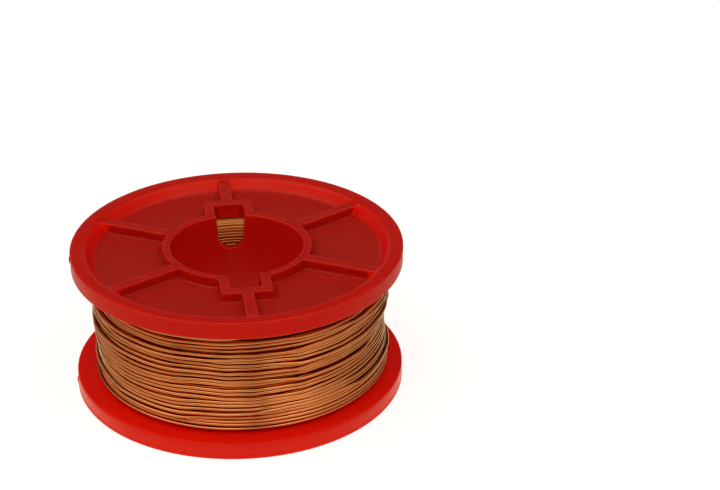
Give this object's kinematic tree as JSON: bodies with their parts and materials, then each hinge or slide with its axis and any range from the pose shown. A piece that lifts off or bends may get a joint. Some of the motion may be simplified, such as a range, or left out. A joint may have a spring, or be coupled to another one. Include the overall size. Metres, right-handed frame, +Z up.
{
  "type": "wire spool",
  "caption": "Plastic reel with two ribbed flanges, a wide bore and two key pockets, wound full of bare copper wire.",
  "frame": {"origin": "centre of the bottom face, on the axis of the bore", "axes": "+Z up the bore to the flange with the key pockets; the pockets lie at +Y and -Y"},
  "size_m": [0.08, 0.08, 0.036],
  "materials": {
    "moulded_plastic": "moulded red plastic, satin gloss, fine grain on the webs",
    "copper_wire": "bare drawn copper, bright"
  },
  "bodies": {
    "root": {"spool_body": "moulded_plastic", "wire_inner_layers": "copper_wire", "wire_outer_layer": "copper_wire"}
  },
  "joints": []
}
